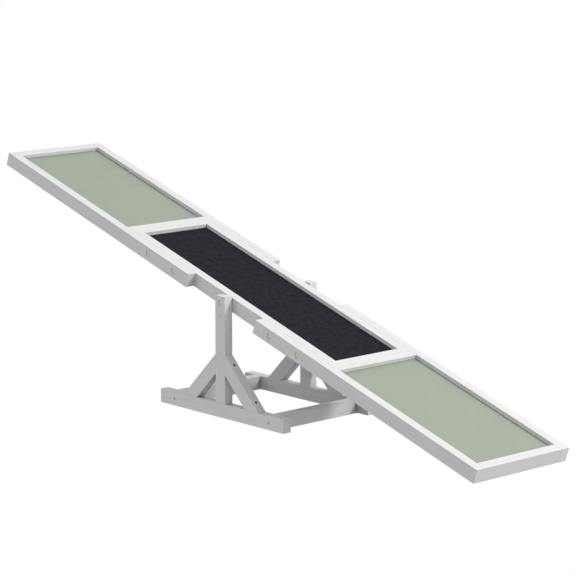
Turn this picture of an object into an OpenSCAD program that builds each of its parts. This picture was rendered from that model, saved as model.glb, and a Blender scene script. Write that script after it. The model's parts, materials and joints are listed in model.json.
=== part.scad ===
// Dog agility seesaw: a long plank in three sections that tips on a low timber stand.
// X runs along the plank towards the end that is down, Y across it, Z up.
// The origin is on the floor under the pivot, and the low end of the plank touches the floor.
// Front is the -Y side, back is +Y, left is -X and right is +X.

/* [Plank] */
// Length of the whole plank
plank_l = 1800; // [1500:10:2200]
// Width of the plank over its outer rails
plank_w = 305; // [240:5:400]
// Height of every plank rail
plank_h = 35; // [32:1:45]
// Thickness of the long plank rails
rail_t = 25; // [22:1:30]
// Length of the narrow middle section
middle_l = 736; // [680:2:800]
// Length of outer rail that runs on beside the middle section
overlap_l = 238; // [180:1:290]
// Width of the crossbar at each end of the middle section
crossbar_w = 42; // [30:1:60]
// Width of the rail across each end of the plank
end_rail_w = 25; // [20:1:40]
// Width of the slats under the boards
slat_w = 25; // [20:1:40]
// Place of the slat under a green board, as a share of the way from crossbar to end rail
slat_share = 0.46; // [0.2:0.01:0.8]

/* [Boards] */
// Thickness of the boards that are walked on
board_t = 5; // [4:0.5:7]
// Depth of the boards below the tops of the rails
board_drop = 10; // [9:0.5:14]
// Depth of the grooves that hold the boards
groove_in = 6; // [4:0.5:7]
// Play of a board in its grooves
groove_play = 0.2; // [0.1:0.05:0.5]
// Thickness of the black mat on the middle board
mat_t = 1.2; // [1:0.1:3]
// Gap between the mat and the rails round it
mat_gap = 0.3; // [0:0.1:2]

/* [Stand] */
// Height of the pivot above the floor
pivot_z = 285; // [250:1:330]
// Height of the posts above the pivot
post_over = 18; // [14:1:30]
// Width of a post, along the plank
post_w = 35; // [32:1:50]
// Thickness of the stand's timber
timber_t = 24.5; // [20:0.5:30]
// Length of a foot rail
foot_l = 458; // [420:2:600]
// Height of the foot rails and the cross rails
foot_h = 35; // [30:1:45]
// Distance from the end of a foot rail to the middle of a cross rail
cross_in = 50; // [40:0.5:60]
// Width of a cross rail
cross_w = 25; // [20:1:35]
// Width of a brace
brace_w = 35; // [33:1:45]
// Height above the foot rail at which a brace meets its post
brace_rise = 122; // [100:1:150]
// Slope of the braces in degrees
brace_a = 45; // [42:1:48]

/* [Pivot] */
// Diameter of the pivot bolts
pivot_d = 8; // [6:0.5:10]
// Radial clearance of a pivot bolt in its post
pivot_fit = 0.075; // [0.03:0.005:0.1]
// Gap between a post and the plank
pivot_gap = 0.8; // [0.8:0.1:3]
// Gap under the head of a pivot bolt
head_gap = 0.2; // [0.1:0.05:0.3]
// Outer diameter of the pivot washers
washer_d = 22; // [18:1:30]
// Clearance of a washer on each side and round its bolt
washer_play = 0.1; // [0.05:0.05:0.2]
// Depth of the threaded insert that takes a pivot bolt
pivot_insert_l = 14; // [10:1:15]

/* [Bolts] */
// Diameter of the bolts that join the sections
bolt_d = 6; // [5:0.5:8]
// Radial clearance of these bolts in the outer rails
bolt_fit = 0.25; // [0.1:0.05:0.5]
// Diameter of the bolt heads
bolt_head_d = 13.5; // [11:0.5:14]
// Height of the bolt heads
bolt_head_h = 3; // [2:0.1:4.5]
// Diameter of the bores that the bolt heads are sunk in
bolt_bore_d = 14.5; // [14.5:0.5:17]
// Depth of the seats of the bolt heads in these bores
bolt_bore_h = 3.5; // [3.5:0.5:10]
// Width of the hexagon socket in a bolt head
socket_w = 4; // [3:0.5:4.5]
// Depth of the hexagon socket
socket_h = 1.8; // [1.5:0.1:3]
// Share of a bolt head's height that its dome takes up
dome_share = 0.35; // [0.3:0.05:0.8]
// Distance from the tip of an outer rail to its first bolt
bolt_tip_in = 56; // [40:1:70]
// Distance from the crossbar to the nearest bolt
bolt_bar_in = 79; // [50:1:90]
// Depth of the threaded insert that takes such a bolt
bolt_insert_l = 13; // [10:1:15]
// Wall of the threaded inserts
insert_wall = 2; // [1.5:0.1:2.5]
// Thickness and extra radius of the collar of an insert
insert_collar = 1.2; // [0.8:0.1:1.6]

/* [Screws] */
// Diameter of the wood screws
screw_d = 4; // [3.5:0.1:5]
// Diameter of their countersunk heads
screw_head_d = 7.5; // [6.5:0.1:8]
// Radial clearance of screws and inserts in the timber
screw_fit = 0.05; // [0.02:0.01:0.1]
// Length of the screws in the plank
rail_screw_l = 45; // [38:1:50]
// Height of the screws above the underside of the plank
rail_screw_z = 10; // [7:0.5:12]
// Distance of the crossbar's and the end rail's screws from the face nearer the pivot
rail_screw_in = 8; // [6:0.5:12]
// Length of the screws that hold the cross rails
foot_screw_l = 50; // [40:1:60]
// Distance of these screws from the middle of a cross rail, towards the post
foot_screw_off = 3.2; // [0:0.1:4]
// Length of the screws that hold the posts
post_screw_l = 60; // [50:1:70]
// Distance between the two screws in a post
post_screw_pitch = 16; // [12:1:20]
// Depth of the post screws in the underside of the foot rail
post_screw_sunk = 1; // [0.5:0.1:3]
// Length of the brace screws
brace_screw_l = 40; // [34:1:42]
// Timber of the brace that such a screw passes
brace_through = 30; // [26:1:32]
// Diameter of the heads of the brace screws
brace_head_d = 6.5; // [6:0.1:6.8]
// Diameter of the bores that the brace screws are sunk in
brace_bore_d = 7; // [7:0.1:10]
// Depth of these bores
brace_bore_h = 8; // [5:0.5:10]

/* [Hidden] */
$fn = 48;
white = "#f1f1ee";
green = "#a9b49c";
black = "#303034";
yellow_zinc = "#c9a66b";
zinc = "#b9babc";
// How far a cut runs past the face that it opens
over = 1;

// The plank, in its own frame: x from the pivot, y from the middle, z from its underside
half_l = plank_l / 2;
half_w = plank_w / 2;
mid_x = middle_l / 2;
bar_x = mid_x + crossbar_w;
end_x = half_l - end_rail_w;
tip_x = mid_x - overlap_l;
in_y = half_w - rail_t;
core_y = in_y - rail_t;
board_top = plank_h - board_drop;
board_z = board_top - board_t;
mid_h = plank_h / 2;

// The tilt at which the lower edge of the low end touches the floor
reach = sqrt(half_l * half_l + mid_h * mid_h);
tilt = asin(pivot_z / reach) - atan2(mid_h, half_l);

// Places of the fasteners along the plank
bolt_x = [tip_x + bolt_tip_in, mid_x - bolt_bar_in];
mid_slat_x = (bolt_x[0] + bolt_x[1]) / 2;
slat_x = bar_x + slat_share * (end_x - bar_x);
rail_screw_x = [mid_x + rail_screw_in, slat_x, end_x + rail_screw_in];

// The stand: faces of its timber and the ends of a brace's outer face
stand_in = in_y + pivot_gap;
stand_out = stand_in + timber_t;
stand_mid = stand_in + timber_t / 2;
post_x = post_w / 2;
post_top = pivot_z + post_over;
cross_x = foot_l / 2 - cross_in;
brace_top = [post_x, foot_h + brace_rise];
brace_foot = [post_x + brace_rise / tan(brace_a), foot_h];

// Fasteners
screw_tip_h = 2 * screw_d;
screw_tip_d = screw_d / 5;
recess_arm = 0.28 * screw_d;
// Length and depth of the cross recess as shares of the head's diameter and height
recess_reach = 0.66;
recess_depth = 0.8;
dome_h = dome_share * bolt_head_h;
dome_r = (bolt_head_d * bolt_head_d / 4 + dome_h * dome_h) / (2 * dome_h);
washer_t = pivot_gap - 2 * washer_play;
pivot_bolt_l = head_gap + timber_t - bolt_bore_h + pivot_gap + pivot_insert_l;
section_bolt_l = rail_t - bolt_bore_h + bolt_insert_l;

// Puts what is drawn in the plank's own frame in its place on the pivot
module on_pivot() {
  translate([0, 0, pivot_z]) rotate([0, tilt, 0]) translate([0, 0, -mid_h]) children();
}

// Puts a piece of the right back quarter in the quarter with these signs
module quarter(sx, sy) {
  mirror([sx < 0 ? 1 : 0, 0, 0]) mirror([0, sy < 0 ? 1 : 0, 0]) children();
}

// The same piece in both quarters across the width, along the length, and in all four
module both_y() for (s = [-1, 1]) quarter(1, s) children();
module both_x() for (s = [-1, 1]) quarter(s, 1) children();
module all_quarters() both_x() both_y() children();

// A block between two corners
module block(low, high) translate(low) cube(high - low);

// Wood screw with a countersunk head: the face of the head at z = 0 and the tip at -l
module screw(l, head_d = screw_head_d) {
  head_h = (head_d - screw_d) / 2;
  reach = recess_reach * head_d;
  depth = recess_depth * head_h;
  difference() {
    union() {
      translate([0, 0, -head_h]) cylinder(d1 = screw_d, d2 = head_d, h = head_h);
      translate([0, 0, screw_tip_h - l]) cylinder(d = screw_d, h = l - screw_tip_h - head_h);
      translate([0, 0, -l]) cylinder(d1 = screw_tip_d, d2 = screw_d, h = screw_tip_h);
    }
    for (a = [0, 90]) rotate([0, 0, a]) translate([-reach / 2, -recess_arm / 2, -depth])
      cube([reach, recess_arm, depth + over]);
  }
}

// Room for a screw whose head lies sunk below the face, in a bore a little wider than the head
// unless a diameter is given
module screw_room(l, sunk = 0, head_d = screw_head_d, bore_d = 0) {
  head_h = (head_d - screw_d) / 2;
  translate([0, 0, -sunk]) {
    cylinder(d = max(bore_d, head_d + 2 * screw_fit), h = sunk + over);
    translate([0, 0, -head_h])
      cylinder(d1 = screw_d + 2 * screw_fit, d2 = head_d + 2 * screw_fit, h = head_h);
    translate([0, 0, -l - screw_fit]) cylinder(d = screw_d + 2 * screw_fit, h = l);
  }
}

// Bolt with a domed head and a hexagon socket: the seat of the head at z = 0, the end at -l
module bolt(d, l) {
  difference() {
    union() {
      intersection() {
        cylinder(d = bolt_head_d, h = bolt_head_h);
        translate([0, 0, bolt_head_h - dome_r]) sphere(r = dome_r);
      }
      translate([0, 0, -l]) cylinder(d = d, h = l);
    }
    translate([0, 0, bolt_head_h - socket_h])
      cylinder(d = socket_w / cos(30), h = socket_h + over, $fn = 6);
  }
}

// Threaded insert for a bolt: the face of its collar at z = 0
module insert(d, l) {
  difference() {
    union() {
      translate([0, 0, -l]) cylinder(d = d + 2 * insert_wall, h = l);
      translate([0, 0, -insert_collar])
        cylinder(d = d + 2 * insert_wall + 2 * insert_collar, h = insert_collar);
    }
    translate([0, 0, -l - over]) cylinder(d = d + 2 * screw_fit, h = l + 2 * over);
  }
}

// Room for a threaded insert
module insert_room(d, l) {
  translate([0, 0, -l]) cylinder(d = d + 2 * insert_wall + 2 * screw_fit, h = l + over);
  translate([0, 0, -insert_collar])
    cylinder(d = d + 2 * insert_wall + 2 * insert_collar + 2 * screw_fit, h = insert_collar + over);
}

// Places in the right back quarter, with z outwards from the face
module rail_screw_places() {
  for (x = rail_screw_x) translate([x, half_w, rail_screw_z]) rotate([-90, 0, 0]) children();
}
module slat_screw_place() translate([mid_slat_x, in_y, rail_screw_z]) rotate([-90, 0, 0]) children();
module section_bolt_places() {
  for (x = bolt_x) translate([x, half_w - bolt_bore_h, mid_h]) rotate([-90, 0, 0]) children();
}
module section_insert_places() translate([0, bolt_bore_h - rail_t, 0]) section_bolt_places() children();
module pivot_insert_place() translate([0, in_y, mid_h]) rotate([-90, 0, 0]) children();
module pivot_bolt_place() {
  translate([0, stand_out - bolt_bore_h - in_y + head_gap, 0]) pivot_insert_place() children();
}
module foot_screw_place() {
  translate([cross_x - foot_screw_off, stand_out, foot_h / 2]) rotate([-90, 0, 0]) children();
}
module post_screw_place() translate([post_screw_pitch / 2, stand_mid, 0]) rotate([180, 0, 0]) children();

// The two screws of a brace stand square on its slope, one runs into the post, one into the foot
module brace_post_screw_place() {
  along = brace_through * tan(brace_a);
  translate([brace_top[0] + along * cos(brace_a), stand_mid, brace_top[1] - along * sin(brace_a)])
    rotate([0, brace_a, 0]) children();
}
module brace_foot_screw_place() {
  along = brace_through / tan(brace_a);
  translate([brace_foot[0] - along * cos(brace_a), stand_mid, brace_foot[1] + along * sin(brace_a)])
    rotate([0, brace_a, 0]) children();
}
module brace_screw_room() screw_room(brace_screw_l, brace_bore_h, brace_head_d, brace_bore_d);

// Green board of the right end, and the room that its grooves give it
module end_board(play = 0) {
  block([bar_x - groove_in - play, -in_y - groove_in - play, board_z],
        [end_x + groove_in + play, in_y + groove_in + play, board_top + play]);
}

// Middle board, as long as the middle rails that hold it
module mid_board(play = 0) {
  block([-mid_x - over * sign(play), -core_y - groove_in - play, board_z],
        [mid_x + over * sign(play), core_y + groove_in + play, board_top + play]);
}

// Outer rail of the right back quarter
module outer_rail() {
  color(white) difference() {
    block([tip_x, in_y, 0], [half_l, half_w, plank_h]);
    end_board(groove_play);
    rail_screw_places() screw_room(rail_screw_l);
    section_bolt_places() {
      cylinder(d = bolt_bore_d, h = bolt_bore_h + over);
      translate([0, 0, bolt_bore_h - rail_t - over]) cylinder(d = bolt_d + 2 * bolt_fit, h = rail_t);
    }
  }
}

// Rail across the right end
module end_rail() {
  color(white) difference() {
    block([end_x, -in_y, 0], [half_l, in_y, plank_h]);
    end_board(groove_play);
    both_y() rail_screw_places() screw_room(rail_screw_l);
  }
}

// Crossbar between the right end section and the middle section
module crossbar() {
  color(white) difference() {
    block([mid_x, -in_y, 0], [bar_x, in_y, plank_h]);
    end_board(groove_play);
    both_y() rail_screw_places() screw_room(rail_screw_l);
  }
}

// Slat under the right green board
module end_slat() {
  color(white) difference() {
    block([slat_x - slat_w / 2, -in_y, 0], [slat_x + slat_w / 2, in_y, board_z]);
    both_y() rail_screw_places() screw_room(rail_screw_l);
  }
}

// Middle rail on the back side, with the inserts' holes in its outer face
module middle_rail() {
  color(white) difference() {
    block([-mid_x, core_y, 0], [mid_x, in_y, plank_h]);
    mid_board(groove_play);
    pivot_insert_place() insert_room(pivot_d, pivot_insert_l);
    both_x() section_insert_places() insert_room(bolt_d, bolt_insert_l);
    both_x() slat_screw_place() screw_room(rail_screw_l);
  }
}

// Right slat under the middle board
module middle_slat() {
  color(white) difference() {
    block([mid_slat_x - slat_w / 2, -core_y, 0], [mid_slat_x + slat_w / 2, core_y, board_z]);
    both_y() slat_screw_place() screw_room(rail_screw_l);
  }
}

// Foot rail on the back side
module foot_rail() {
  color(white) difference() {
    block([-foot_l / 2, stand_in, 0], [foot_l / 2, stand_out, foot_h]);
    both_x() foot_screw_place() screw_room(foot_screw_l);
    both_x() post_screw_place() screw_room(post_screw_l, post_screw_sunk);
    both_x() brace_foot_screw_place() brace_screw_room();
  }
}

// Right cross rail between the foot rails
module cross_rail() {
  color(white) difference() {
    block([cross_x - cross_w / 2, -stand_in, 0], [cross_x + cross_w / 2, stand_in, foot_h]);
    both_y() foot_screw_place() screw_room(foot_screw_l);
  }
}

// Post on the back side, with the bore that the pivot bolt turns in
module post() {
  color(white) difference() {
    block([-post_x, stand_in, foot_h], [post_x, stand_out, post_top]);
    translate([0, stand_out + over, pivot_z]) rotate([90, 0, 0]) {
      cylinder(d = bolt_bore_d, h = bolt_bore_h + over);
      cylinder(d = pivot_d + 2 * pivot_fit, h = timber_t + 2 * over);
    }
    both_x() post_screw_place() screw_room(post_screw_l, post_screw_sunk);
    both_x() brace_post_screw_place() brace_screw_room();
  }
}

// Brace of the right back quarter: a bar cut level at the foot and upright at the post
module brace() {
  color(white) difference() {
    translate([0, stand_out, 0]) rotate([90, 0, 0]) linear_extrude(timber_t) polygon([
      brace_top,
      brace_foot,
      brace_foot - [brace_w / sin(brace_a), 0],
      brace_top - [0, brace_w / cos(brace_a)]
    ]);
    brace_post_screw_place() brace_screw_room();
    brace_foot_screw_place() brace_screw_room();
  }
}

// Plank, end sections
module left_rail_front() on_pivot() quarter(-1, -1) outer_rail();
module left_rail_back() on_pivot() quarter(-1, 1) outer_rail();
module right_rail_front() on_pivot() quarter(1, -1) outer_rail();
module right_rail_back() on_pivot() quarter(1, 1) outer_rail();
module left_end_rail() on_pivot() quarter(-1, 1) end_rail();
module right_end_rail() on_pivot() end_rail();
module left_crossbar() on_pivot() quarter(-1, 1) crossbar();
module right_crossbar() on_pivot() crossbar();
module left_slat() on_pivot() quarter(-1, 1) end_slat();
module right_slat() on_pivot() end_slat();
module left_board() on_pivot() quarter(-1, 1) color(green) end_board();
module right_board() on_pivot() color(green) end_board();

// Plank, middle section
module middle_rail_front() on_pivot() quarter(1, -1) middle_rail();
module middle_rail_back() on_pivot() middle_rail();
module middle_slat_left() on_pivot() quarter(-1, 1) middle_slat();
module middle_slat_right() on_pivot() middle_slat();
module middle_board() on_pivot() color(white) mid_board();
module middle_mat() {
  on_pivot() color(black) block([mat_gap - mid_x, mat_gap - core_y, board_top],
                                [mid_x - mat_gap, core_y - mat_gap, board_top + mat_t]);
}

// Plank, fasteners
module section_bolts() {
  on_pivot() color(yellow_zinc) all_quarters() section_bolt_places() bolt(bolt_d, section_bolt_l);
}
module section_inserts() {
  on_pivot() color(yellow_zinc) all_quarters() section_insert_places() insert(bolt_d, bolt_insert_l);
}
module rail_screws() on_pivot() color(yellow_zinc) all_quarters() rail_screw_places() screw(rail_screw_l);
module slat_screws() on_pivot() color(yellow_zinc) all_quarters() slat_screw_place() screw(rail_screw_l);
module pivot_bolts() on_pivot() color(yellow_zinc) both_y() pivot_bolt_place() bolt(pivot_d, pivot_bolt_l);
module pivot_inserts() {
  on_pivot() color(yellow_zinc) both_y() pivot_insert_place() insert(pivot_d, pivot_insert_l);
}
module pivot_washers() {
  on_pivot() color(zinc) both_y() pivot_insert_place() translate([0, 0, washer_play]) difference() {
    cylinder(d = washer_d, h = washer_t);
    translate([0, 0, -over]) cylinder(d = pivot_d + 2 * washer_play, h = washer_t + 2 * over);
  }
}

// Stand
module foot_rail_front() quarter(1, -1) foot_rail();
module foot_rail_back() foot_rail();
module cross_rail_left() quarter(-1, 1) cross_rail();
module cross_rail_right() cross_rail();
module post_front() quarter(1, -1) post();
module post_back() post();
module brace_front_left() quarter(-1, -1) brace();
module brace_front_right() quarter(1, -1) brace();
module brace_back_left() quarter(-1, 1) brace();
module brace_back_right() brace();
module foot_screws() color(yellow_zinc) all_quarters() foot_screw_place() screw(foot_screw_l);
module post_screws() {
  color(yellow_zinc) all_quarters() post_screw_place() translate([0, 0, -post_screw_sunk])
    screw(post_screw_l);
}
module brace_screws() {
  color(yellow_zinc) all_quarters() {
    brace_post_screw_place() translate([0, 0, -brace_bore_h]) screw(brace_screw_l, brace_head_d);
    brace_foot_screw_place() translate([0, 0, -brace_bore_h]) screw(brace_screw_l, brace_head_d);
  }
}

left_rail_front();
left_rail_back();
right_rail_front();
right_rail_back();
left_end_rail();
right_end_rail();
left_crossbar();
right_crossbar();
left_slat();
right_slat();
left_board();
right_board();
middle_rail_front();
middle_rail_back();
middle_slat_left();
middle_slat_right();
middle_board();
middle_mat();
section_bolts();
section_inserts();
rail_screws();
slat_screws();
pivot_bolts();
pivot_inserts();
pivot_washers();
foot_rail_front();
foot_rail_back();
cross_rail_left();
cross_rail_right();
post_front();
post_back();
brace_front_left();
brace_front_right();
brace_back_left();
brace_back_right();
foot_screws();
post_screws();
brace_screws();
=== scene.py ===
"""The looks of a dog agility seesaw: a painted plank in three sections on a braced timber stand."""
import json
from math import asin, atan2, cos, hypot, pi, radians, sin, sqrt
from typing import NamedTuple

import bmesh
import bpy
from bpy.props import FloatProperty, FloatVectorProperty, PointerProperty
from bpy.types import Operator, Panel, PropertyGroup
from mathutils import Matrix, Vector, noise

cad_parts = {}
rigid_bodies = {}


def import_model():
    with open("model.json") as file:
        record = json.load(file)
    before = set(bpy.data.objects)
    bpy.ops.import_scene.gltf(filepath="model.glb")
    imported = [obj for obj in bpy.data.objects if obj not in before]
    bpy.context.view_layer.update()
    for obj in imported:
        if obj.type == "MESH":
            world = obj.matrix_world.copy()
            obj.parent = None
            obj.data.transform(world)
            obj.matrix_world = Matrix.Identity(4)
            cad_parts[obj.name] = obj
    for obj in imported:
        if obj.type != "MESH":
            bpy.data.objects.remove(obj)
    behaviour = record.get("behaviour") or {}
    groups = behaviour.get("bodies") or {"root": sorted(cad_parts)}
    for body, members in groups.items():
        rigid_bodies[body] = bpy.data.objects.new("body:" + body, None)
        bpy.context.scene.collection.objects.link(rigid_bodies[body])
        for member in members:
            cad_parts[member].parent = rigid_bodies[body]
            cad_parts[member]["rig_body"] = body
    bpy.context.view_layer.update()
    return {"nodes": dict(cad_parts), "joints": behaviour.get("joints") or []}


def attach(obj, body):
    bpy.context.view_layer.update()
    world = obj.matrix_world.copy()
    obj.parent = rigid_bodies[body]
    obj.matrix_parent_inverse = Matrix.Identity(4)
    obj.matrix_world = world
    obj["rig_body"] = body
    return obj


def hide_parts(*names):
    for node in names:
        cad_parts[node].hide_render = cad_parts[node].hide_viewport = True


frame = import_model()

bl_info = {
    "name": "Agility Seesaw",
    "version": (1, 0, 0),
    "blender": (4, 5, 0),
    "location": "View3D > Sidebar > Seesaw",
    "description": "Finishes a dog agility seesaw: painted timber, grip boards, bolts and screws",
    "category": "Object",
}

# The plank lies on the floor with the lower edge of one end, which gives its tilt about the pivot
PLANK_LENGTH = 1.8
RAIL_HEIGHT = 0.035
PIVOT = Vector(frame["joints"][0]["pos_m"])
TILT = asin(PIVOT.z / hypot(PLANK_LENGTH / 2, RAIL_HEIGHT / 2)) - atan2(RAIL_HEIGHT, PLANK_LENGTH)

# Radius of the bores of the brace screws' and bolts' heads, and painted shade or light on their wood
SCREW_BORE = 0.0035
# The wood in the screw bores is darkened: painted shade of the deep holes
SCREW_BORE_PAINTED_SHADE = 0.3
BOLT_BORE = 0.00725
# The wood in the bolt bores is lightened: painted light in place of the light that white paint would throw
# in
BOLT_BORE_PAINTED_LIGHT = 2.2

# How far above the floor the marks on a post are
POST_MARKS = (0.2535, 0.1607)

# Length from which an edge of a timber counts as an arris, which the facets of its holes don't reach
LONG_EDGE = 0.007

# Distance within which points of a node's loose triangles, or of a turned solid's pole, are one point
SAME_POINT = 0.000002
SAME_POLE = 0.0000001

# Angles under which faces are one, past which an edge is an arris, and past which a turned edge is a crease
ONE_FACE = radians(0.5)
ARRIS_ANGLE = radians(40)
CREASE_ANGLE = radians(35)

# Steps round a turned bolt or screw
ROUND_STEPS = 48

# Bolt heads: share of the height that the dome takes up, radii of its rings as shares of the head's radius,
# radius of the ring round the socket as a share of the socket's width, depth and taper of the socket,
# and the chamfers of the head and of the tip
DOME_SHARE = 0.35
DOME_RINGS = (0.5, 0.64, 0.77, 0.88, 0.96)
SOCKET_RING = 0.62
SOCKET_DEPTH = 0.0018
SOCKET_TAPER = 0.98
HEAD_CHAMFER = 0.0002
TIP_CHAMFER = 0.0006

# Screws: length of the point and radius of its end, thickness of the head's rim, radius of a head whose
# cross recess has the set width, and the half width of the cross's arms, its depth, taper and sunken edge
POINT_LENGTH = 0.008
POINT_RADIUS = 0.0004
HEAD_RIM = 0.00025
USUAL_HEAD = 0.00375
CROSS_ARM = 0.0005
CROSS_DEPTH = 0.0016
CROSS_TAPER = 0.5
CROSS_EDGE = -0.00002

# Mat: width and depth of its worn border, and the heights of its waves with their number per metre
MAT_BORDER = 0.002
MAT_WEAR = 0.0005
MAT_WAVES = ((0.00012, 160), (0.00010, 23))

# Noise per metre along and across the grain: bends of the rings, fibres and brush marks
BEND_DENSITY = (1.2, 9.0, 9.0)
FIBRE_DENSITY = (14.0, 620.0, 620.0)
BRUSH_DENSITY = (12.0, 210.0, 210.0)

# Radians of ring figure per metre across a timber and per metre through it, and those that a bend adds
RINGS_ACROSS = 170.0
RINGS_THROUGH = 90.0
RING_BEND = 26.0

# Heights of relief: paint over grain, sand in the green paint, grit of the mat and rolled steel
PAINT_RELIEF = 0.00012
SAND_RELIEF = 0.00012
GRIT_RELIEF = 0.00035
STEEL_RELIEF = 0.00001

# Darkest and lightest shade of the paint, the green boards and the mat
PAINT_SHADES = (0.965, 1.025)
GREEN_SHADES = (0.95, 1.05)
BLACK_SHADES = (0.6, 1.4)

# How much the rings show through the paint, how dark they are in bare wood, and how bare an arris is worn
RINGS_THROUGH_PAINT = 0.012
DARK_RING = 0.7
WORN_BARE = 0.22

# Size of the sand in the green paint, and how far from an edge the paint is rubbed thin
SAND_GRAIN = 0.0008
WORN_WIDTH = 0.0011

# Distances over which the bead of paint beside an arris, a filled hole, the side of a bore and the mouth
# of a bore pass into the plain paint
BEAD_FADE = (0.0008, 0.0030)
FILLED_FADE = (0.0016, 0.0028)
SIDE_FADE = 0.0003
MOUTH_FADE = (-0.0010, -0.0004)

# Gloss: share of metal in the look of the plating, and specular level of the mat
PLATING_METAL = 0.15
MAT_SPECULAR = 0.16

# Second tints of the plated steel, and how much darker the screws of the stand are, as painted shade
YELLOW_TINT = (0.98, 0.90, 0.70)
ZINC_TINT = (0.66, 0.66, 0.67)
SHADED_SCREW_TINT = (0.58, 0.52, 0.40)
SHADED_SCREW_SHARE = 0.58

# Turns from the world to a piece's own axes, in which x runs along the grain
ALONG_X = Matrix.Identity(3)
ALONG_Y = Matrix.Rotation(-pi / 2, 3, "Z")
ALONG_Z = Matrix.Rotation(pi / 2, 3, "Y")
ALONG_PLANK = Matrix.Rotation(-TILT, 3, "Y")
ACROSS_PLANK = ALONG_Y @ ALONG_PLANK
DOWN_RIGHT = Matrix.Rotation(-pi / 4, 3, "Y")
DOWN_LEFT = Matrix.Rotation(pi / 4, 3, "Y")

PLANK_TIMBER = {
    "left_rail_front": ALONG_PLANK, "left_rail_back": ALONG_PLANK,
    "right_rail_front": ALONG_PLANK, "right_rail_back": ALONG_PLANK,
    "middle_rail_front": ALONG_PLANK, "middle_rail_back": ALONG_PLANK,
    "left_end_rail": ACROSS_PLANK, "right_end_rail": ACROSS_PLANK,
    "left_crossbar": ACROSS_PLANK, "right_crossbar": ACROSS_PLANK,
    "left_slat": ACROSS_PLANK, "right_slat": ACROSS_PLANK,
    "middle_slat_left": ACROSS_PLANK, "middle_slat_right": ACROSS_PLANK,
    "middle_board": ALONG_PLANK,
}
STAND_TIMBER = {
    "foot_rail_front": ALONG_X, "foot_rail_back": ALONG_X,
    "cross_rail_left": ALONG_Y, "cross_rail_right": ALONG_Y,
    "post_front": ALONG_Z, "post_back": ALONG_Z,
}
BRACES = {
    "brace_front_left": DOWN_LEFT, "brace_back_left": DOWN_LEFT,
    "brace_front_right": DOWN_RIGHT, "brace_back_right": DOWN_RIGHT,
}
GREEN_BOARDS = {"left_board": ALONG_PLANK, "right_board": ALONG_PLANK}

# Each kind of screw in view, with the way its head faces on the side where x and y are positive
SCREWS = {
    "rail_screws": (0, 1, 0),
    "foot_screws": (0, 1, 0),
    "brace_screws": (1, 0, 1),
    "post_screws": (0, 0, -1),
}
BOLTS = {"section_bolts": (0, 1, 0), "pivot_bolts": (0, 1, 0)}
HIDDEN_METAL = {"section_inserts": "yellow_zinc", "pivot_inserts": "yellow_zinc",
                "slat_screws": "yellow_zinc", "pivot_washers": "zinc"}

# Way to the lamp behind and how far off it is, and half the floor's width
KEY_WAY = Vector((0.6395, 0.4737, 0.6055))
KEY_DISTANCE = 7.0
FLOOR_REACH = 12.0

# Camera: the point it looks at, the way it looks from, how far off it is, and its lens and sensor in mm
CAMERA_AIM = Vector((0.078165, 0.0, 0.314446))
CAMERA_AZIMUTH = radians(47.687)
CAMERA_ELEVATION = radians(10.554)
CAMERA_DISTANCE = 6.2837
CAMERA_LENS = 160.63
CAMERA_SENSOR = 36.0


class SeesawSizes(PropertyGroup):
    """Small sizes of the finish"""

    arris: FloatProperty(name="Arris", description="Width of the rounded timber edges",
                         default=0.0006, min=0.0001, max=0.003, subtype="DISTANCE", unit="LENGTH")
    socket: FloatProperty(name="Socket", description="Width across the flats of a bolt's socket",
                          default=0.004, min=0.002, max=0.005, subtype="DISTANCE", unit="LENGTH")
    recess: FloatProperty(name="Recess", description="Width of the cross recess of a screw",
                          default=0.0040, min=0.003, max=0.006, subtype="DISTANCE", unit="LENGTH")
    grit: FloatProperty(name="Grit", description="Size of the grit on the black mat",
                        default=0.0009, min=0.0003, max=0.003, subtype="DISTANCE", unit="LENGTH")
    mat_cell: FloatProperty(name="Mat cell", description="Spacing of the points of the mat's surface",
                            default=0.003, min=0.001, max=0.02, subtype="DISTANCE", unit="LENGTH")


class SeesawColours(PropertyGroup):
    """Colours of the finish"""

    paint: FloatVectorProperty(name="Paint", description="White paint of the timber",
                               default=(0.828, 0.829, 0.831), subtype="COLOR", min=0, max=1)
    wood: FloatVectorProperty(name="Wood", description="Bare softwood in bores and worn arrises",
                              default=(0.42, 0.27, 0.14), subtype="COLOR", min=0, max=1)
    filler: FloatVectorProperty(name="Filler", description="Filler in small nail holes, under thin paint",
                                default=(0.71, 0.62, 0.47), subtype="COLOR", min=0, max=1)
    green: FloatVectorProperty(name="Green", description="Sage green of the end boards",
                               default=(0.38, 0.425, 0.343), subtype="COLOR", min=0, max=1)
    black: FloatVectorProperty(name="Black", description="Black of the grip mat",
                               default=(0.0140, 0.0132, 0.0200), subtype="COLOR", min=0, max=1)
    yellow_zinc: FloatVectorProperty(name="Yellow zinc", description="Plating of the bolts and screws",
                                     default=(1.0, 0.87, 0.60), subtype="COLOR", min=0, max=1)
    zinc: FloatVectorProperty(name="Zinc", description="Plating of the washers",
                              default=(0.58, 0.58, 0.60), subtype="COLOR", min=0, max=1)


class SeesawStudio(PropertyGroup):
    """Light of the studio"""

    key: FloatProperty(name="Key", description="Light of the lamp behind on a surface that faces it",
                       default=0.385, min=0, max=10)
    key_size: FloatProperty(name="Key size", description="Width of the lamp behind",
                            default=1.2, min=0.1, max=5, subtype="DISTANCE", unit="LENGTH")
    high: FloatVectorProperty(name="High", description="Soft light from the right, behind, the left and "
                              "the front, above the horizon",
                              size=4, default=(1.081, 0.909, 0.680, 0.852), min=0)
    low: FloatVectorProperty(name="Low", description="Soft light from the same sides below the horizon",
                             size=4, default=(0.385, 0.860, 0.337, 0.375), min=0)
    top: FloatProperty(name="Top", description="Soft light from above", default=0.570, min=0, max=5)
    bottom: FloatProperty(name="Bottom", description="Soft light from below", default=0.0, min=0, max=5)
    bounce: FloatProperty(name="Bounce", description="Share of its light that white paint passes on",
                          default=0.05, min=0, max=1)
    board_bounce: FloatProperty(name="Board bounce", description="The same share for the green boards",
                                default=0.35, min=0, max=1)


# Node trees

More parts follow.
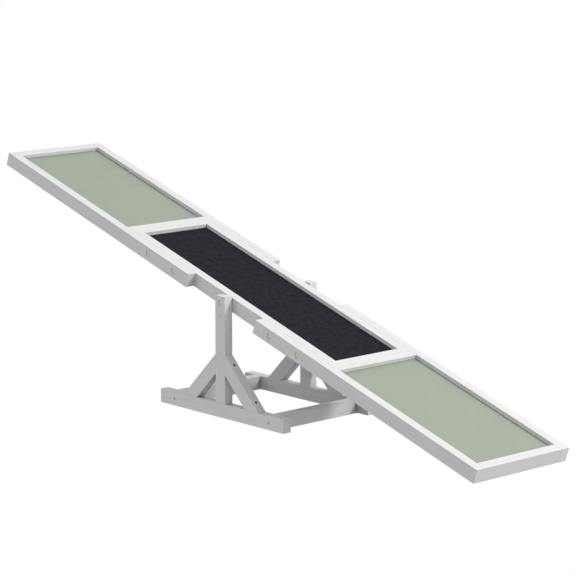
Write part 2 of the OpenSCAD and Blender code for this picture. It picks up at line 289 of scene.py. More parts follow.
def node(tree, kind, options=None, **inputs):
    """Adds a node; an input is a value or an output socket to link, and _ stands for a blank in its name."""
    made = tree.nodes.new(kind)
    for name, value in (options or {}).items():
        setattr(made, name, value)
    for name, value in inputs.items():
        put(tree, made.inputs[name.replace("_", " ")], value)
    return made


def put(tree, socket, value):
    """Links an output to a socket, or sets the socket's own value."""
    if isinstance(value, bpy.types.NodeSocket):
        tree.links.new(value, socket)
    else:
        socket.default_value = value


def calc(tree, operation, *values, clamp=False):
    """A Math node's output."""
    made = node(tree, "ShaderNodeMath", {"operation": operation, "use_clamp": clamp})
    for socket, value in zip(made.inputs, values):
        put(tree, socket, value)
    return made.outputs[0]


def vector_calc(tree, operation, *values, scale=None):
    """A Vector Math node's vector output."""
    made = node(tree, "ShaderNodeVectorMath", {"operation": operation})
    for socket, value in zip(made.inputs, values):
        put(tree, socket, value)
    if scale is not None:
        put(tree, made.inputs["Scale"], scale)
    return made.outputs["Vector"]


def remap(tree, value, low, high, to_low=0.0, to_high=1.0, smooth=True):
    """A value taken from one range to another, clamped."""
    kind = "SMOOTHSTEP" if smooth else "LINEAR"
    made = node(tree, "ShaderNodeMapRange", {"interpolation_type": kind}, Value=value,
                From_Min=low, From_Max=high, To_Min=to_low, To_Max=to_high)
    return made.outputs["Result"]


def speckle(tree, vector, scale, detail=2.0, roughness=0.5):
    """Noise between 0 and 1."""
    made = node(tree, "ShaderNodeTexNoise", Vector=vector, Scale=scale, Detail=detail, Roughness=roughness)
    return made.outputs["Fac"]


def mixed(tree, factor, first, second):
    """A mix of two colours."""
    made = node(tree, "ShaderNodeMix", {"data_type": "RGBA"})
    put(tree, made.inputs[0], factor)
    put(tree, made.inputs[6], first)
    put(tree, made.inputs[7], second)
    return made.outputs[2]


def rgba(colour, shade=1.0):
    """A colour made darker or lighter, with full alpha."""
    return (*(min(1.0, c * shade) for c in colour), 1.0)


def new_group(name, inputs, outputs):
    """A shader node group with these sockets, and its input and output nodes."""
    group = bpy.data.node_groups.new(name, "ShaderNodeTree")
    for way, sockets in (("INPUT", inputs), ("OUTPUT", outputs)):
        for label, kind in sockets.items():
            group.interface.new_socket(name=label, in_out=way, socket_type="NodeSocket" + kind)
    return group, node(group, "NodeGroupInput").outputs, node(group, "NodeGroupOutput").inputs


def group_node(tree, group, **inputs):
    """Places a node group in a tree and gives its outputs."""
    made = tree.nodes.new("ShaderNodeGroup")
    made.node_tree = group
    for name, value in inputs.items():
        put(tree, made.inputs[name.replace("_", " ")], value)
    return made.outputs


def edge_distance_group():
    """Distance of a point on a block's surface from the nearest edge of the block."""
    group, given, result = new_group("edge_distance", {"Vector": "Vector", "Half Size": "Vector"},
                                     {"Edge": "Float"})
    inside = vector_calc(group, "SUBTRACT", given["Half Size"],
                         vector_calc(group, "ABSOLUTE", given["Vector"]))
    x, y, z = node(group, "ShaderNodeSeparateXYZ", Vector=inside).outputs
    low, high = calc(group, "MINIMUM", x, y), calc(group, "MAXIMUM", x, y)
    group.links.new(calc(group, "MAXIMUM", low, calc(group, "MINIMUM", high, z)), result["Edge"])
    return group


def timber_grain_group():
    """Softwood grain along x: broad figure, fine fibres, and both together as a height."""
    group, given, result = new_group("timber_grain", {"Vector": "Vector", "Seed": "Vector"},
                                     {"Figure": "Float", "Fibre": "Float", "Height": "Float"})
    place = vector_calc(group, "ADD", given["Vector"], given["Seed"])
    bend = speckle(group, vector_calc(group, "MULTIPLY", place, BEND_DENSITY), 1.0, 1.0)
    x, y, z = node(group, "ShaderNodeSeparateXYZ", Vector=place).outputs
    ring = calc(group, "ADD", calc(group, "MULTIPLY", y, RINGS_ACROSS),
                calc(group, "MULTIPLY", z, RINGS_THROUGH))
    figure = calc(group, "SINE", calc(group, "ADD", ring, calc(group, "MULTIPLY", bend, RING_BEND)))
    figure = remap(group, figure, -1.0, 1.0)
    fibre = speckle(group, vector_calc(group, "MULTIPLY", place, FIBRE_DENSITY), 1.0, 3.0, 0.6)
    group.links.new(figure, result["Figure"])
    group.links.new(fibre, result["Fibre"])
    group.links.new(calc(group, "ADD", calc(group, "MULTIPLY", figure, 0.15), fibre), result["Height"])
    return group


def paint_film_group():
    """Brushed satin paint along x: brush marks, a thicker bead beside the arris and small specks."""
    group, given, result = new_group("paint_film", {"Vector": "Vector", "Seed": "Vector", "Edge": "Float"},
                                     {"Tone": "Float", "Height": "Float", "Roughness": "Float"})
    place = vector_calc(group, "ADD", given["Vector"], given["Seed"])
    brush = speckle(group, vector_calc(group, "MULTIPLY", place, BRUSH_DENSITY), 1.0, 2.0)
    cloud = speckle(group, place, 11.0, 2.0)
    speck = remap(group, speckle(group, place, 420.0, 1.0), 0.70, 0.78)
    bead = remap(group, given["Edge"], *BEAD_FADE, 1.0, 0.0)
    tone = calc(group, "ADD", calc(group, "MULTIPLY", brush, 0.85), calc(group, "MULTIPLY", cloud, 0.15))
    height = calc(group, "ADD", brush, calc(group, "MULTIPLY", bead, 0.25))
    height = calc(group, "ADD", height, calc(group, "MULTIPLY", speck, 0.3))
    group.links.new(tone, result["Tone"])
    group.links.new(height, result["Height"])
    group.links.new(remap(group, cloud, 0.3, 0.7, 0.40, 0.52), result["Roughness"])
    return group


def edge_wear_group():
    """Mask of the arrises that are rubbed thin, broken up along their length."""
    group, given, result = new_group("edge_wear", {"Vector": "Vector", "Seed": "Vector", "Edge": "Float",
                                                   "Width": "Float"}, {"Mask": "Float"})
    place = vector_calc(group, "ADD", given["Vector"], given["Seed"])
    patch = remap(group, speckle(group, place, 38.0, 4.0, 0.65), 0.47, 0.63)
    near = calc(group, "SUBTRACT", 1.0, calc(group, "DIVIDE", given["Edge"], given["Width"]), clamp=True)
    group.links.new(calc(group, "MULTIPLY", near, patch), result["Mask"])
    return group


def grit_group():
    """Grains of sharp sand bonded to a surface: their height, and a tone for each grain."""
    group, given, result = new_group("grit", {"Vector": "Vector", "Grain": "Float"},
                                     {"Tone": "Float", "Height": "Float", "Cloud": "Float"})
    per_metre = calc(group, "DIVIDE", 1.0, given["Grain"])
    cells = node(group, "ShaderNodeTexVoronoi", {"feature": "F1"}, Vector=given["Vector"], Scale=per_metre)
    tone = node(group, "ShaderNodeSeparateColor", Color=cells.outputs["Color"]).outputs["Red"]
    lump = remap(group, cells.outputs["Distance"], 0.0, 0.75, 1.0, 0.0)
    group.links.new(tone, result["Tone"])
    group.links.new(calc(group, "MULTIPLY", lump, calc(group, "ADD", 0.35, tone)), result["Height"])
    group.links.new(speckle(group, given["Vector"], 22.0, 4.0, 0.6), result["Cloud"])
    return group


def plating_group():
    """Plated steel: a tint that drifts over the surface, and rolled and handled patches of gloss."""
    group, given, result = new_group("plating", {"Vector": "Vector"},
                                     {"Tint": "Float", "Roughness": "Float", "Height": "Float"})
    drift = speckle(group, given["Vector"], 160.0, 3.0)
    fine = speckle(group, given["Vector"], 2400.0, 2.0)
    group.links.new(drift, result["Tint"])
    group.links.new(remap(group, drift, 0.3, 0.7, 0.36, 0.5), result["Roughness"])
    group.links.new(fine, result["Height"])
    return group


def surface(name):
    """A new material's tree, its Principled shader and its Object coordinates."""
    material = bpy.data.materials.new(name)
    material.use_nodes = True
    tree = material.node_tree
    place = tree.nodes.new("ShaderNodeTexCoord").outputs["Object"]
    return material, tree, tree.nodes["Principled BSDF"], place


def colour(tree, shader, value, bounce):
    """Feeds the shader's colour, darkened for the light that it throws on other surfaces."""
    bounced = node(tree, "ShaderNodeLightPath").outputs["Is Diffuse Ray"]
    held_back = calc(tree, "MULTIPLY", bounced, 1.0 - bounce)
    tree.links.new(mixed(tree, held_back, value, (0.0, 0.0, 0.0, 1.0)), shader.inputs["Base Color"])


def bump(tree, shader, height, depth):
    """Feeds the shader's normal with a height of the given depth in metres."""
    made = node(tree, "ShaderNodeBump", Height=height, Distance=depth, Strength=1.0)
    tree.links.new(made.outputs["Normal"], shader.inputs["Normal"])


def local_box(name, turn):
    """Middle and half size of a node in the axes that a turn gives."""
    points = [turn @ v.co for v in frame["nodes"][name].data.vertices]
    low = Vector(min(p[i] for p in points) for i in range(3))
    high = Vector(max(p[i] for p in points) for i in range(3))
    return (low + high) / 2, (high - low) / 2


def own_axes(tree, place, turn, middle):
    """Object coordinates turned to a piece's own axes and centred on it."""
    made = node(tree, "ShaderNodeMapping", Vector=place, Rotation=turn.to_euler(), Location=-middle)
    return made.outputs["Vector"]


def seed_of(name):
    """A place in the noise that is a piece's own."""
    return tuple(0.31 * (sum(ord(c) * (i + k) for i, c in enumerate(name)) % 97) for k in (1, 5, 9))


class Bore(NamedTuple):
    """A bore in a piece's own axes: its mouth, the way out of it, its radius, and the factor on its wood's
    colour that paints shade or light into it.
    """

    mouth: Vector
    out: Vector
    radius: float
    shade: float


def painted_timber(groups, name, turn, bores=(), marks=()):
    """White paint on one piece of softwood, with its own grain, filled nail holes, and bare wood in bores
    that is darkened or lightened as painted shade or painted light.
    """
    _, colours, studio = settings()
    middle, half = local_box(name, turn)
    material, tree, shader, place = surface("paint_" + name)
    own = own_axes(tree, place, turn, middle)
    seed = seed_of(name)
    edge = group_node(tree, groups["edge_distance"], Vector=own, Half_Size=half)["Edge"]
    grain = group_node(tree, groups["timber_grain"], Vector=own, Seed=seed)
    film = group_node(tree, groups["paint_film"], Vector=own, Seed=seed, Edge=edge)
    worn = group_node(tree, groups["edge_wear"], Vector=own, Seed=seed, Edge=edge, Width=WORN_WIDTH)["Mask"]
    dark, light = (rgba(colours.paint, shade) for shade in PAINT_SHADES)
    paint = mixed(tree, remap(tree, film["Tone"], 0.35, 0.65), dark, light)
    shown = calc(tree, "MULTIPLY", grain["Figure"], RINGS_THROUGH_PAINT)
    paint = mixed(tree, shown, paint, rgba(colours.wood))
    for mark in marks:
        paint = mixed(tree, filled_hole(tree, own, mark), paint, rgba(colours.filler))
    bare = calc(tree, "MULTIPLY", worn, WORN_BARE)
    wood = mixed(tree, grain["Figure"], rgba(colours.wood), rgba(colours.wood, DARK_RING))
    # Each bore's wood takes the bore's factor: painted shade in the screw bores, painted light in the bolt
    # bores
    for bore in bores:
        inside = bored_hole(tree, own, bore)
        bare = calc(tree, "MAXIMUM", bare, inside)
        wood = mixed(tree, inside, wood, rgba(colours.wood, bore.shade))
    colour(tree, shader, mixed(tree, bare, paint, wood), studio.bounce)
    tree.links.new(calc(tree, "ADD", film["Roughness"], calc(tree, "MULTIPLY", bare, 0.3)),
                   shader.inputs["Roughness"])
    height = calc(tree, "ADD", calc(tree, "MULTIPLY", grain["Height"], 0.4), film["Height"])
    bump(tree, shader, height, PAINT_RELIEF)
    return material


def filled_hole(tree, own, mark):
    """Mask of a small filled hole at a point of a piece's own axes."""
    away = vector_calc(tree, "SUBTRACT", own, mark)
    length = node(tree, "ShaderNodeVectorMath", {"operation": "LENGTH"}, Vector=away).outputs["Value"]
    return remap(tree, length, *FILLED_FADE, 1.0, 0.0)


def bored_hole(tree, own, bore):
    """Mask of the inside of a bore in a piece's own axes."""
    away = vector_calc(tree, "SUBTRACT", own, bore.mouth)
    height = node(tree, "ShaderNodeVectorMath", {"operation": "DOT_PRODUCT"}).outputs["Value"]
    put(tree, height.node.inputs[0], away)
    put(tree, height.node.inputs[1], bore.out)
    reach = node(tree, "ShaderNodeVectorMath", {"operation": "LENGTH"}, Vector=away).outputs["Value"]
    across = calc(tree, "SQRT", calc(tree, "SUBTRACT", calc(tree, "MULTIPLY", reach, reach),
                                     calc(tree, "MULTIPLY", height, height)))
    inside = remap(tree, across, bore.radius, bore.radius + SIDE_FADE, 1.0, 0.0)
    below = remap(tree, height, *MOUTH_FADE, 1.0, 0.0)
    return calc(tree, "MULTIPLY", inside, below)


def grip_paint(groups, name, turn):
    """Sage green paint with fine sand in it, on a thin board."""
    _, colours, studio = settings()
    middle, half = local_box(name, turn)
    material, tree, shader, place = surface("green_" + name)
    own = own_axes(tree, place, turn, middle)
    seed = vector_calc(tree, "ADD", own, seed_of(name))
    sand = group_node(tree, groups["grit"], Vector=seed, Grain=SAND_GRAIN)
    tone = calc(tree, "ADD", calc(tree, "MULTIPLY", sand["Tone"], 0.35),
                calc(tree, "MULTIPLY", sand["Cloud"], 0.65))
    dark, light = (rgba(colours.green, shade) for shade in GREEN_SHADES)
    green = mixed(tree, remap(tree, tone, 0.25, 0.75), dark, light)
    colour(tree, shader, green, studio.board_bounce)
    tree.links.new(remap(tree, sand["Cloud"], 0.3, 0.7, 0.62, 0.74), shader.inputs["Roughness"])
    bump(tree, shader, sand["Height"], SAND_RELIEF)
    return material


def grip_mat(groups, turn, middle):
    """Black mat with coarse mineral grit, scuffed in soft patches."""
    sizes, colours, studio = settings()
    material, tree, shader, place = surface("black_grit")
    own = own_axes(tree, place, turn, middle)
    grit = group_node(tree, groups["grit"], Vector=own, Grain=sizes.grit)
    scuff = remap(tree, speckle(tree, own, 62.0, 3.0, 0.6), 0.35, 0.65)
    tone = calc(tree, "ADD", calc(tree, "MULTIPLY", grit["Tone"], 0.2),
                calc(tree, "MULTIPLY", scuff, 0.8))
    dark, light = (rgba(colours.black, shade) for shade in BLACK_SHADES)
    colour(tree, shader, mixed(tree, tone, dark, light), studio.bounce)
    tree.links.new(remap(tree, grit["Tone"], 0.0, 1.0, 0.72, 0.9), shader.inputs["Roughness"])
    shader.inputs["Specular IOR Level"].default_value = MAT_SPECULAR
    bump(tree, shader, grit["Height"], GRIT_RELIEF)
    return material


def plated_steel(groups, name, first, second):
    """Plated steel whose tint drifts between two colours."""
    material, tree, shader, place = surface(name)
    plate = group_node(tree, groups["plating"], Vector=place)
    tree.links.new(mixed(tree, plate["Tint"], rgba(first), rgba(second)), shader.inputs["Base Color"])
    tree.links.new(plate["Roughness"], shader.inputs["Roughness"])
    shader.inputs["Metallic"].default_value = PLATING_METAL
    bump(tree, shader, plate["Height"], STEEL_RELIEF)
    return material


# Meshes

def finish_piece(name, bm, material, body, slot, *nodes):
    """Makes an object of a bmesh and hangs it on a body in place of some nodes."""
    mesh = bpy.data.meshes.new(name)
    bm.to_mesh(mesh)
    bm.free()
    piece = bpy.data.objects.new(name, mesh)
    bpy.context.scene.collection.objects.link(piece)
    mesh.materials.append(material)
    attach(piece, body)
    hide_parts(*nodes)
    return piece


def body_of_node(name):
    """The body that a node moves with."""
    return frame["nodes"][name]["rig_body"]


def dress(name, material):
    """Gives a node a material."""
    piece = frame["nodes"][name]
    piece.data.materials.clear()
    piece.data.materials.append(material)


def timber_piece(name, material):
    """A timber with rounded arrises in place of its node; the edges of its holes stay as drilled."""
    bm = bmesh.new()
    bm.from_mesh(frame["nodes"][name].data)
    bmesh.ops.remove_doubles(bm, verts=bm.verts, dist=SAME_POINT)
    bmesh.ops.dissolve_limit(bm, angle_limit=ONE_FACE, verts=bm.verts, edges=bm.edges)
    sharp = [e for e in bm.edges if e.is_convex and e.calc_length() > LONG_EDGE
             and e.calc_face_angle(0.0) > ARRIS_ANGLE]
    bmesh.ops.bevel(bm, geom=sharp, offset=settings()[0].arris, offset_type="OFFSET", segments=2,
                    profile=0.5, affect="EDGES", clamp_overlap=False, material=-1)
    bmesh.ops.recalc_face_normals(bm, faces=bm.faces)
    for face in bm.faces:
        face.smooth = False
    return finish_piece(name + "_timber", bm, material, body_of_node(name), "white_timber", name)


def solids_of(name):
    """The points of each solid of a node."""
    bm = bmesh.new()
    bm.from_mesh(frame["nodes"][name].data)
    bmesh.ops.remove_doubles(bm, verts=bm.verts, dist=SAME_POINT)
    left = set(bm.verts)
    solids = []
    while left:
        front = [left.pop()]
        solid = list(front)
        while front:
            near = {e.other_vert(v) for v in front for e in v.link_edges} & left
            left -= near
            solid += near
            front = list(near)
        solids.append([v.co.copy() for v in solid])
    bm.free()
    return solids


class Seat(NamedTuple):
    """A fastener's place, with z out of its head and its top at z = 0, and its sizes."""

    place: Matrix
    length: float
    radius: float
    head: float
    shank: float


def seats_of(name, facing):
    """The seats of a node's fasteners, whose heads face this way on the side where x and y are positive."""
    seats = []
    for points in solids_of(name):
        middle = sum(points, Vector()) / len(points)
        sign = Vector(1.0 if c > 0 else -1.0 for c in middle)
        out = Vector(f * (s if i < 2 else 1.0) for i, (f, s) in enumerate(zip(facing, sign))).normalized()
        turn = out.to_track_quat("Z", "X").to_matrix()
        local = [turn.transposed() @ p for p in points]
        low = Vector(min(p[i] for p in local) for i in range(3))
        high = Vector(max(p[i] for p in local) for i in range(3))
        top = Vector(((low.x + high.x) / 2, (low.y + high.y) / 2, high.z))
        radius = (high.x - low.x) / 2
        widths = [((p - top).xy.length, high.z - p.z) for p in local]
        head = max(down for width, down in widths if width > 0.98 * radius)
        shank = max(width for width, down in widths if down > (high.z - low.z) / 2)
        place = Matrix.Translation(turn @ top) @ turn.to_4x4()
        seats.append(Seat(place, high.z - low.z, radius, head, shank))
    return seats


def turned(profile):
    """A solid turned about z from a profile of radius and height, open at its first ring."""
    bm = bmesh.new()
    points = [bm.verts.new((r, 0.0, z)) for r, z in profile]
    edges = [bm.edges.new(pair) for pair in zip(points, points[1:])]
    bmesh.ops.spin(bm, geom=points + edges, cent=(0, 0, 0), axis=(0, 0, 1), angle=2 * pi,
                   steps=ROUND_STEPS, use_merge=True)
    bmesh.ops.remove_doubles(bm, verts=bm.verts, dist=SAME_POLE)
    return bm


def rim_at(bm, height):
    """The open edges of a turned solid at a height."""
    return [e for e in bm.edges if e.is_boundary and all(abs(v.co.z - height) < 1e-7 for v in e.verts)]


def sink(bm, edges, outline, depth, taper):
    """Shapes an open ring to an outline, sinks it as a socket and closes its floor."""
    for v in {v for e in edges for v in e.verts}:
        v.co.xy = outline(atan2(v.co.y, v.co.x))
    walls = bmesh.ops.extrude_edge_only(bm, edges=edges)["geom"]
    floor = [v for v in walls if isinstance(v, bmesh.types.BMVert)]
    for v in floor:
        v.co = Vector((v.co.x * taper, v.co.y * taper, v.co.z - depth))
    bmesh.ops.contextual_create(bm, geom=[e for e in walls if isinstance(e, bmesh.types.BMEdge)])


def hexagon(half_width):
    """Outline of a hexagon by angle."""
    def outline(angle):
        radius = half_width / cos((angle + pi / 6) % (pi / 3) - pi / 6)
        return Vector((radius * cos(angle), radius * sin(angle)))
    return outline


def cross(reach, arm):
    """Outline of a cross by angle, with arms of the given half width."""
    def outline(angle):
        off = abs((angle + pi / 4) % (pi / 2) - pi / 4)
        radius = min(reach, arm / max(sin(off), 1e-6)) if off < pi / 8 else arm * 1.25
        return Vector((radius * cos(angle), radius * sin(angle)))
    return outline


def bolt_template(seat, sizes):
    """Bolt with a domed head: the rim of its socket at z = 0."""
    mouth, drop = sizes.socket / 2, DOME_SHARE * seat.head
    centre = -(seat.radius ** 2 - mouth ** 2 + drop ** 2) / (2 * drop)
    ball = hypot(mouth, centre)
    rings = [sizes.socket * SOCKET_RING, *(share * seat.radius for share in DOME_RINGS)]
    profile = [(ring, centre + sqrt(ball ** 2 - ring ** 2)) for ring in rings]
    rim = profile[0][1]
    profile += [(seat.radius, -drop - HEAD_CHAMFER), (seat.radius, HEAD_CHAMFER - seat.head),
                (seat.radius * 0.98, -seat.head), (seat.shank, -seat.head),
                (seat.shank, TIP_CHAMFER - seat.length), (seat.shank - TIP_CHAMFER, -seat.length),
                (0.0, -seat.length)]
    bm = turned(profile)
    sink(bm, rim_at(bm, rim), hexagon(sizes.socket / 2), SOCKET_DEPTH, SOCKET_TAPER)
    return bm


def screw_template(seat, sizes):
    """Countersunk wood screw: the face of the head at z = 0."""
    radius = seat.radius
    recess = sizes.recess * radius / USUAL_HEAD
    profile = [(recess * 0.55, CROSS_EDGE), (radius * 0.86, 0.0), (radius * 0.97, -HEAD_RIM / 2),
               (radius, -HEAD_RIM), (seat.shank, seat.shank - radius - HEAD_RIM),
               (seat.shank, POINT_LENGTH - seat.length), (POINT_RADIUS, -seat.length), (0.0, -seat.length)]
    bm = turned(profile)
    sink(bm, rim_at(bm, CROSS_EDGE), cross(recess / 2, CROSS_ARM), CROSS_DEPTH, CROSS_TAPER)
    return bm


def stamp(seats, template, sizes):
    """One bmesh with a copy of a fastener at each seat."""
    bm = bmesh.new()
    for seat in seats:
        single = template(seat, sizes)
        single.transform(seat.place)
        mesh = bpy.data.meshes.new("stamp")
        single.to_mesh(mesh)
        single.free()
        bm.from_mesh(mesh)
        bpy.data.meshes.remove(mesh)
    bmesh.ops.recalc_face_normals(bm, faces=bm.faces)
    for face in bm.faces:
        face.smooth = True
    for edge in bm.edges:
        edge.smooth = edge.calc_face_angle(0.0) < CREASE_ANGLE
    return bm


def mat_sheet(cell):
    """The mat as a slightly uneven sheet with worn-down borders, in the place of its node."""
    middle, half = local_box("middle_mat", ALONG_PLANK)
    bm = bmesh.new()
    counts = [max(4, round(2 * half[i] / cell)) for i in range(2)]
    bmesh.ops.create_grid(bm, x_segments=counts[0], y_segments=counts[1], size=1.0)
    for v in bm.verts:
        edge = min((1 - abs(v.co.x)) * half.x, (1 - abs(v.co.y)) * half.y)
        place = Vector((v.co.x * half.x, v.co.y * half.y, 0.0))
        low = MAT_WEAR * max(0.0, 1 - edge / MAT_BORDER) ** 2
        wave = sum(height * (1 + noise.noise(place * density)) for height, density in MAT_WAVES)
        v.co = place + Vector((0.0, 0.0, half.z - low - wave))
    border = [e for e in bm.edges if e.is_boundary]
    skirt = bmesh.ops.extrude_edge_only(bm, edges=border)["geom"]
    foot = [v for v in skirt if isinstance(v, bmesh.types.BMVert)]
    for v in foot:
        v.co.z = -half.z
    bmesh.ops.contextual_create(bm, geom=[e for e in skirt if isinstance(e, bmesh.types.BMEdge)])
    bmesh.ops.recalc_face_normals(bm, faces=bm.faces)
    bm.transform(ALONG_PLANK.inverted().to_4x4() @ Matrix.Translation(middle))
    return bm


# Operators

def settings():
    """The sizes, the colours and the studio's light that the scene holds."""
    scene = bpy.context.scene
    return scene.seesaw_sizes, scene.seesaw_colours, scene.seesaw_studio


# The shared node groups by name
GROUPS = {}


class SEESAW_OT_finishes(Operator):
    """Build the shader node groups that the materials share"""

    bl_idname = "seesaw.finishes"
    bl_label = "Shared finishes"

    def execute(self, context):
        for build in (edge_distance_group, timber_grain_group, paint_film_group, edge_wear_group,
                      grit_group, plating_group):
            group = build()
            GROUPS[group.name] = group
        return {"FINISHED"}


class SEESAW_OT_plank(Operator):
    """Paint the rails, crossbars and slats of the plank"""

    bl_idname = "seesaw.plank"
    bl_label = "Plank timber"

    def execute(self, context):
        for name, turn in PLANK_TIMBER.items():
            bores = bolt_bores(name, turn, "section_bolts") if "rail_" in name else ()
            timber_piece(name, painted_timber(GROUPS, name, turn, bores=bores))
        return {"FINISHED"}


class SEESAW_OT_stand(Operator):
    """Paint the rails, posts and braces of the stand"""

    bl_idname = "seesaw.stand"
    bl_label = "Stand timber"

    def execute(self, context):
        for name, turn in STAND_TIMBER.items():
            post = name.startswith("post")
            marks = marks_of(name, turn) if post else ()
            bores = bolt_bores(name, turn, "pivot_bolts") if post else ()
            timber_piece(name, painted_timber(GROUPS, name, turn, bores=bores, marks=marks))
        for name, turn in BRACES.items():
            timber_piece(name, painted_timber(GROUPS, name, turn, bores=screw_bores(name, turn)))
        return {"FINISHED"}


def marks_of(name, turn):
    """The places of the marks on a post's outer face, in its own axes."""
    middle, half = local_box(name, turn)
    outer = half.y if middle.y > 0 else -half.y
    return [(height - middle.x, outer, 0.0) for height in POST_MARKS]


def screw_bores(name, turn):
    """The bores of a brace, which stand on its slope; their wood is darkened as painted shade."""
    middle, half = local_box(name, turn)
    offsets = [turn @ seat.place.translation - middle
               for seat in seats_of("brace_screws", SCREWS["brace_screws"])]
    return [Bore(Vector((offset.x, 0.0, half.z)), Vector((0.0, 0.0, 1.0)), SCREW_BORE, SCREW_BORE_PAINTED_SHADE)
            for offset in offsets if offset.xy.length < 0.1]


def bolt_bores(name, turn, bolts):
    """The bores in the outer face of a timber that these bolts are sunk in; their wood is lightened as
    painted light.
    """
    middle, half = local_box(name, turn)
    side = 1.0 if middle.y > 0 else -1.0
    offsets = [turn @ seat.place.translation - middle for seat in seats_of(bolts, BOLTS[bolts])]
    return [Bore(Vector((offset.x, side * half.y, offset.z)), Vector((0.0, side, 0.0)), BOLT_BORE,
                 BOLT_BORE_PAINTED_LIGHT)
            for offset in offsets
            if abs(offset.x) < half.x and abs(offset.y) < half.y and abs(offset.z) < half.z]


class SEESAW_OT_boards(Operator):
    """Paint the green boards and lay the black mat"""

    bl_idname = "seesaw.boards"
    bl_label = "Boards and mat"

    def execute(self, context):
        sizes = settings()[0]
        for name, turn in GREEN_BOARDS.items():
            dress(name, grip_paint(GROUPS, name, turn))
        material = grip_mat(GROUPS, ALONG_PLANK, local_box("middle_mat", ALONG_PLANK)[0])
        finish_piece("grip_mat", mat_sheet(sizes.mat_cell), material, "plank", "grip_mat", "middle_mat")
        return {"FINISHED"}


class SEESAW_OT_fasteners(Operator):
    """Make the bolts and screws"""

    bl_idname = "seesaw.fasteners"
    bl_label = "Bolts and screws"

    def execute(self, context):
        sizes, colours, _ = settings()
        yellow = plated_steel(GROUPS, "yellow_zinc", colours.yellow_zinc, YELLOW_TINT)
        zinc = plated_steel(GROUPS, "zinc", colours.zinc, ZINC_TINT)
        # The screws of the stand get a darker copy of the plating: painted shade, as if their heads sat in
        # shadowed countersinks
        shaded_plating = plated_steel(GROUPS, "shaded_yellow_zinc", [c * SHADED_SCREW_SHARE for c in colours.yellow_zinc],
                            SHADED_SCREW_TINT)
        for kind, template in ((BOLTS, bolt_template), (SCREWS, screw_template)):
            for name, facing in kind.items():
                bm = stamp(seats_of(name, facing), template, sizes)
                material = shaded_plating if body_of_node(name) == "stand" and template is screw_template else yellow
                finish_piece(name + "_made", bm, material, body_of_node(name), "yellow_zinc", name)
        for name, slot in HIDDEN_METAL.items():
            dress(name, yellow if slot == "yellow_zinc" else zinc)
        return {"FINISHED"}


class SEESAW_OT_stage(Operator):
    """Set the floor, the light and the camera"""

    bl_idname = "seesaw.stage"
    bl_label = "Stage"

    def execute(self, context):
        _, _, studio = settings()
        scene = context.scene
        scene.view_settings.view_transform = "Standard"
        white_world(scene, studio)
        key_light(scene, studio)
        pale_floor(scene)
        photo_camera(scene)
        return {"FINISHED"}


def white_world(scene, studio):
    """A surround that shows as white and lights softly, differently from each side and half."""
    world = bpy.data.worlds.new("studio")
    world.use_nodes = True
    tree = world.node_tree
    way = tree.nodes.new("ShaderNodeTexCoord").outputs["Generated"]
    zero = (0.0, 0.0, 0.0)
    towards = vector_calc(tree, "MAXIMUM", way, zero)
    away = vector_calc(tree, "MAXIMUM", vector_calc(tree, "MULTIPLY", way, (-1.0, -1.0, -1.0)), zero)
    above = remap(tree, node(tree, "ShaderNodeSeparateXYZ", Vector=way).outputs["Z"], -0.02, 0.02)
    high, low = studio.high, studio.low
    halves = ((towards, high[:2], low[:2], studio.top), (away, high[2:], low[2:], studio.bottom))
    light = 0.0
    for side, over, under, rise in halves:
        levels = node(tree, "ShaderNodeMix", {"data_type": "VECTOR"}, Factor=above)
        levels.inputs[4].default_value = (*under, rise)
        levels.inputs[5].default_value = (*over, rise)
        share = vector_calc(tree, "MULTIPLY", vector_calc(tree, "MULTIPLY", side, side), levels.outputs[1])
        for part in node(tree, "ShaderNodeSeparateXYZ", Vector=share).outputs:
            light = calc(tree, "ADD", part, light)
    seen = node(tree, "ShaderNodeLightPath").outputs["Is Camera Ray"]
    back = tree.nodes["Background"]
    back.inputs["Color"].default_value = (1, 1, 1, 1)
    tree.links.new(calc(tree, "MAXIMUM", light, seen), back.inputs["Strength"])
    scene.world = world


def key_light(scene, studio):
    """A round soft light high up behind the low end of the plank."""
    lamp = bpy.data.lights.new("key", "AREA")
    lamp.shape = "DISK"
    lamp.size = studio.key_size
    lamp.energy = studio.key * (pi * KEY_DISTANCE) ** 2
    light = bpy.data.objects.new("key", lamp)
    light.location = KEY_WAY * KEY_DISTANCE
    light.rotation_mode = "QUATERNION"
    light.rotation_quaternion = KEY_WAY.to_track_quat("Z", "Y")
    light.visible_camera = False
    scene.collection.objects.link(light)


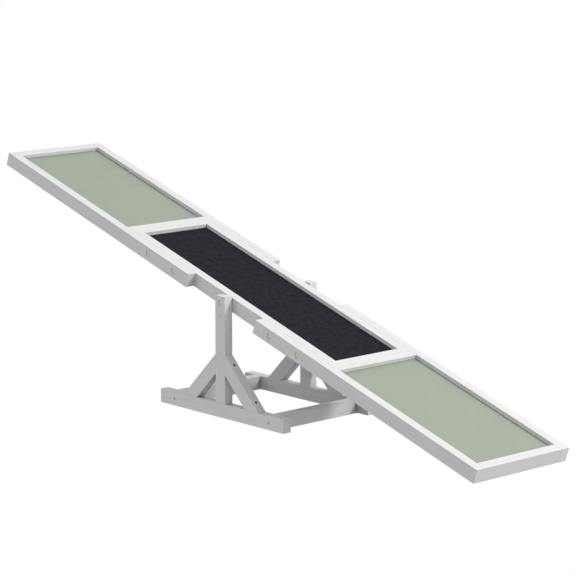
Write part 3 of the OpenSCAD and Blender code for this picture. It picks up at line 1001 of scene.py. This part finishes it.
def pale_floor(scene):
    """A white floor that only shows: the surround lights the object from below too."""
    bm = bmesh.new()
    bmesh.ops.create_grid(bm, x_segments=8, y_segments=8, size=FLOOR_REACH)
    mesh = bpy.data.meshes.new("floor")
    bm.to_mesh(mesh)
    bm.free()
    floor = bpy.data.objects.new("floor", mesh)
    scene.collection.objects.link(floor)
    material = bpy.data.materials.new("floor")
    material.use_nodes = True
    tree = material.node_tree
    tree.nodes.remove(tree.nodes["Principled BSDF"])
    glow = node(tree, "ShaderNodeEmission", Strength=1.0)
    tree.links.new(glow.outputs["Emission"], tree.nodes["Material Output"].inputs["Surface"])
    mesh.materials.append(material)
    floor.visible_diffuse = False
    floor.visible_glossy = False
    floor.visible_transmission = False
    floor.visible_shadow = False


def photo_camera(scene):
    """The camera of the photograph: a long lens from the front right, a little above the plank."""
    level = cos(CAMERA_ELEVATION)
    back = Vector((sin(CAMERA_AZIMUTH) * level, -cos(CAMERA_AZIMUTH) * level, sin(CAMERA_ELEVATION)))
    data = bpy.data.cameras.new("camera")
    data.sensor_width = CAMERA_SENSOR
    data.lens = CAMERA_LENS
    data.clip_end = 100.0
    camera = bpy.data.objects.new("camera", data)
    camera.location = CAMERA_AIM + back * CAMERA_DISTANCE
    camera.rotation_mode = "QUATERNION"
    camera.rotation_quaternion = back.to_track_quat("Z", "Y")
    scene.collection.objects.link(camera)
    scene.camera = camera


STEPS = (SEESAW_OT_finishes, SEESAW_OT_plank, SEESAW_OT_stand, SEESAW_OT_boards,
         SEESAW_OT_fasteners, SEESAW_OT_stage)


class SEESAW_PT_sidebar(Panel):
    """Seesaw sidebar"""

    bl_label = "Agility Seesaw"
    bl_space_type = "VIEW_3D"
    bl_region_type = "UI"
    bl_category = "Seesaw"

    def draw(self, context):
        for group in settings():
            for name in group.__annotations__:
                self.layout.prop(group, name)
        for step in STEPS:
            self.layout.operator(step.bl_idname)


CLASSES = (SeesawSizes, SeesawColours, SeesawStudio, *STEPS, SEESAW_PT_sidebar)


def register():
    for cls in CLASSES:
        bpy.utils.register_class(cls)
    bpy.types.Scene.seesaw_sizes = PointerProperty(type=SeesawSizes)
    bpy.types.Scene.seesaw_colours = PointerProperty(type=SeesawColours)
    bpy.types.Scene.seesaw_studio = PointerProperty(type=SeesawStudio)


def unregister():
    for name in ("seesaw_sizes", "seesaw_colours", "seesaw_studio"):
        delattr(bpy.types.Scene, name)
    for cls in reversed(CLASSES):
        bpy.utils.unregister_class(cls)


def main():
    register()
    for step in STEPS:
        family, name = step.bl_idname.split(".")
        getattr(getattr(bpy.ops, family), name)()


if __name__ == "__main__":
    main()
